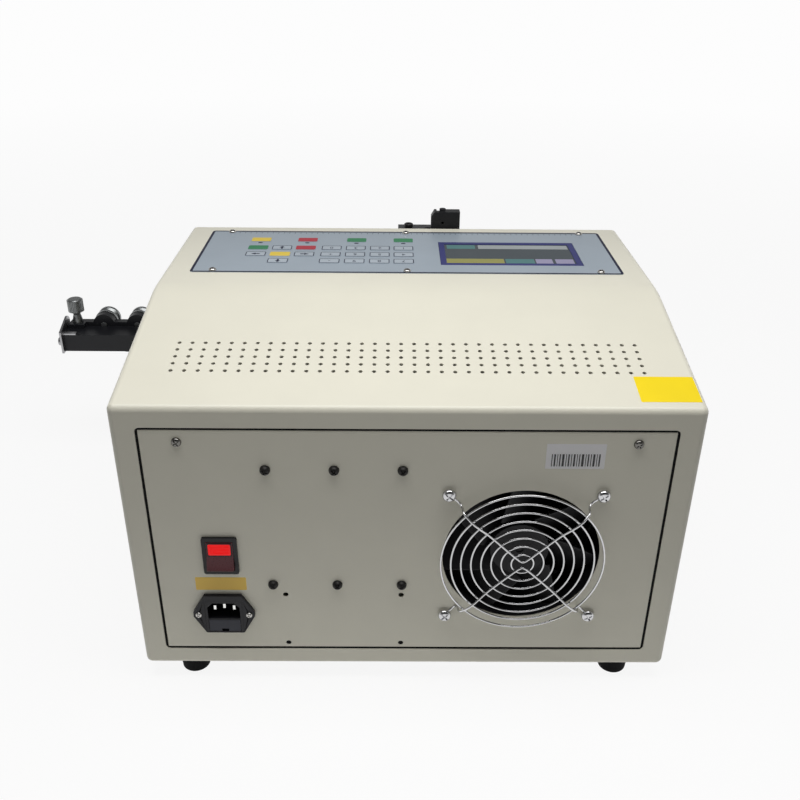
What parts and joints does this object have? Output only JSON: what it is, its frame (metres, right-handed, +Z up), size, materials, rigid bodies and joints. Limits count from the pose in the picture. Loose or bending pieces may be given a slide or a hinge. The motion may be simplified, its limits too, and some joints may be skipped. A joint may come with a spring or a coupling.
{
  "type": "wire cutting stripping machine",
  "caption": "Benchtop wire cutting and stripping machine: slanted sheet steel case with fan, inlet and switch behind, keypad on top, feed rollers and blades in front.",
  "frame": {"origin": "on the floor, under the middle of the whole machine's box", "axes": "+X to the right and +Y to the rear as the operator stands at the front, +Z up"},
  "size_m": [0.542, 0.3814, 0.2785],
  "materials": {
    "casing_paint": "semi-gloss ivory powder coat",
    "panel_paint": "semi-gloss ivory powder coat",
    "foot_rubber": "matt black rubber",
    "control_film": "printed polycarbonate film",
    "display_bezel": "indigo framed display",
    "circuit_board": "green circuit board",
    "zinc_screw": "zinc plated screws",
    "black_screw": "black oxide screws",
    "heat_sink": "black anodised heat sink",
    "supply_case": "bare aluminium case",
    "fan_plastic": "black glass filled plastic",
    "chrome_wire": "bright chrome plating",
    "switch_plastic": "black switch housing",
    "rocker_plastic": "clear red rocker",
    "inlet_plastic": "charcoal moulded inlet",
    "black_anodised": "black anodised aluminium",
    "motor_paint": "black painted motors",
    "ground_steel": "ground steel",
    "knob_plastic": "black moulded knob",
    "pinion_brass": "brass pinion",
    "galvanised_plate": "galvanised plate",
    "sensor_plastic": "black sensor housing"
  },
  "bodies": {
    "machine": {"casing_shell": "casing_paint", "base_plate": "casing_paint", "rear_panel": "panel_paint", "rubber_feet": "foot_rubber", "control_overlay": "control_film", "display_module": "display_bezel", "keypad_board": "circuit_board", "panel_screws": "zinc_screw", "motor_drivers": "heat_sink", "driver_bolts": "black_screw", "power_supply": "supply_case", "fan_frame": "fan_plastic", "fan_guard": "chrome_wire", "fan_screws": "chrome_wire", "switch_body": "switch_plastic", "inlet_flange": "inlet_plastic", "inlet_body": "inlet_plastic", "inlet_pins": "chrome_wire", "mech_plate": "black_anodised", "socket_screws": "black_screw", "stepper_motors": "motor_paint", "motor_standoffs": "ground_steel", "wire_guides": "black_anodised", "pressure_bridges": "black_anodised", "tower_base": "black_anodised", "tower_top_plate": "black_anodised", "tower_posts": "ground_steel", "home_sensor": "sensor_plastic", "straightener_bar": "black_anodised", "guide_plate": "galvanised_plate", "straightener_axles": "ground_steel"},
    "fan_rotor": {"fan_impeller": "fan_plastic"},
    "rocker": {"switch_rocker": "rocker_plastic"},
    "drawer": {"fuse_drawer": "inlet_plastic"},
    "thumb_screw": {"straightener_thumb_screw": "ground_steel"},
    "cutter_screw": {"lead_screw": "ground_steel"},
    "upper_cutter": {"upper_cutter_slide": "black_anodised", "upper_blade": "ground_steel", "upper_blade_clamp": "ground_steel"},
    "lower_cutter": {"lower_cutter_slide": "black_anodised", "lower_blade": "ground_steel", "lower_blade_clamp": "ground_steel"},
    "straightener_upper_1": {"upper_straightener_roller_1": "ground_steel"},
    "straightener_upper_2": {"upper_straightener_roller_2": "ground_steel"},
    "straightener_lower_1": {"lower_straightener_roller_1": "ground_steel"},
    "straightener_lower_2": {"lower_straightener_roller_2": "ground_steel"},
    "feed_right_lower": {"feed_roller_right_lower": "ground_steel", "gear_shaft_right_lower": "ground_steel"},
    "feed_right_upper": {"feed_roller_right_upper": "ground_steel", "gear_shaft_right_upper": "ground_steel"},
    "block_right": {"roller_block_right": "black_anodised"},
    "knob_right": {"pressure_knob_right": "knob_plastic"},
    "pinion_right": {"motor_pinion_right": "pinion_brass"},
    "feed_left_lower": {"feed_roller_left_lower": "ground_steel", "gear_shaft_left_lower": "ground_steel"},
    "feed_left_upper": {"feed_roller_left_upper": "ground_steel", "gear_shaft_left_upper": "ground_steel"},
    "block_left": {"roller_block_left": "black_anodised"},
    "knob_left": {"pressure_knob_left": "knob_plastic"},
    "pinion_left": {"motor_pinion_left": "pinion_brass"}
  },
  "joints": [
    {"name": "fan_spin", "type": "hinge", "parent": "machine", "child": "fan_rotor", "pos_m": [-0.156, 0.14927, 0.1165], "axis": [0, 1, 0], "continuous": true},
    {"name": "rocker_tilt", "type": "hinge", "parent": "machine", "child": "rocker", "pos_m": [0.0562, 0.17788, 0.1166], "axis": [-1, 0, 0], "range_deg": [0, 20]},
    {"name": "fuse_drawer_slide", "type": "slide", "parent": "machine", "child": "drawer", "axis": [0, 1, 0], "range_m": [0, 0.016]},
    {"name": "thumb_screw_turn", "type": "hinge", "parent": "machine", "child": "thumb_screw", "pos_m": [0.256, -0.15723, 0.151], "axis": [0, 0, 1], "continuous": true},
    {"name": "lead_screw_turn", "type": "hinge", "parent": "machine", "child": "cutter_screw", "pos_m": [-0.098, -0.15072, 0.15], "axis": [0, 0, 1], "range_deg": [0, 812]},
    {"name": "upper_cutter_close", "type": "slide", "parent": "machine", "child": "upper_cutter", "axis": [0, 0, 1], "range_m": [-0.009, 0]},
    {"name": "lower_cutter_close", "type": "slide", "parent": "machine", "child": "lower_cutter", "axis": [0, 0, 1], "range_m": [0, 0.0091]},
    {"name": "straightener_upper_1_spin", "type": "hinge", "parent": "machine", "child": "straightener_upper_1", "pos_m": [0.23, -0.17222, 0.148], "axis": [0, 1, 0], "continuous": true},
    {"name": "straightener_upper_2_spin", "type": "hinge", "parent": "machine", "child": "straightener_upper_2", "pos_m": [0.196, -0.17222, 0.148], "axis": [0, 1, 0], "continuous": true},
    {"name": "straightener_lower_1_spin", "type": "hinge", "parent": "machine", "child": "straightener_lower_1", "pos_m": [0.213, -0.17222, 0.125], "axis": [0, 1, 0], "continuous": true},
    {"name": "straightener_lower_2_spin", "type": "hinge", "parent": "machine", "child": "straightener_lower_2", "pos_m": [0.179, -0.17222, 0.125], "axis": [0, 1, 0], "continuous": true},
    {"name": "feed_right_lower_spin", "type": "hinge", "parent": "machine", "child": "feed_right_lower", "pos_m": [-0.003, -0.13173, 0.12], "axis": [0, 1, 0], "continuous": true},
    {"name": "knob_right_turn", "type": "hinge", "parent": "machine", "child": "knob_right", "pos_m": [-0.003, -0.14772, 0.2], "axis": [0, 0, 1], "range_deg": [0, 722]},
    {"name": "block_right_lift", "type": "slide", "parent": "machine", "child": "block_right", "axis": [0, 0, 1], "range_m": [0, 0.0025]},
    {"name": "feed_right_upper_spin", "type": "hinge", "parent": "block_right", "child": "feed_right_upper", "pos_m": [-0.003, -0.13173, 0.153], "axis": [0, 1, 0], "continuous": true},
    {"name": "pinion_right_spin", "type": "hinge", "parent": "machine", "child": "pinion_right", "pos_m": [-0.003, -0.11373, 0.0915], "axis": [0, 1, 0], "continuous": true},
    {"name": "feed_left_lower_spin", "type": "hinge", "parent": "machine", "child": "feed_left_lower", "pos_m": [-0.193, -0.13173, 0.12], "axis": [0, 1, 0], "continuous": true},
    {"name": "knob_left_turn", "type": "hinge", "parent": "machine", "child": "knob_left", "pos_m": [-0.193, -0.14772, 0.2], "axis": [0, 0, 1], "range_deg": [0, 722]},
    {"name": "block_left_lift", "type": "slide", "parent": "machine", "child": "block_left", "axis": [0, 0, 1], "range_m": [0, 0.0025]},
    {"name": "feed_left_upper_spin", "type": "hinge", "parent": "block_left", "child": "feed_left_upper", "pos_m": [-0.193, -0.13173, 0.153], "axis": [0, 1, 0], "continuous": true},
    {"name": "pinion_left_spin", "type": "hinge", "parent": "machine", "child": "pinion_left", "pos_m": [-0.193, -0.11373, 0.0915], "axis": [0, 1, 0], "continuous": true}
  ],
  "couplings": [
    {"joint": "lower_cutter_close", "follows": "upper_cutter_close", "ratio": -1},
    {"joint": "lead_screw_turn", "follows": "upper_cutter_close", "rad_per_m": -1570.8},
    {"joint": "knob_right_turn", "follows": "block_right_lift", "rad_per_m": 5026.5},
    {"joint": "feed_right_upper_spin", "follows": "feed_right_lower_spin", "ratio": -1},
    {"joint": "pinion_right_spin", "follows": "feed_right_lower_spin", "ratio": -1.375},
    {"joint": "knob_left_turn", "follows": "block_left_lift", "rad_per_m": 5026.5},
    {"joint": "feed_left_upper_spin", "follows": "feed_left_lower_spin", "ratio": -1},
    {"joint": "pinion_left_spin", "follows": "feed_left_lower_spin", "ratio": -1.375}
  ]
}
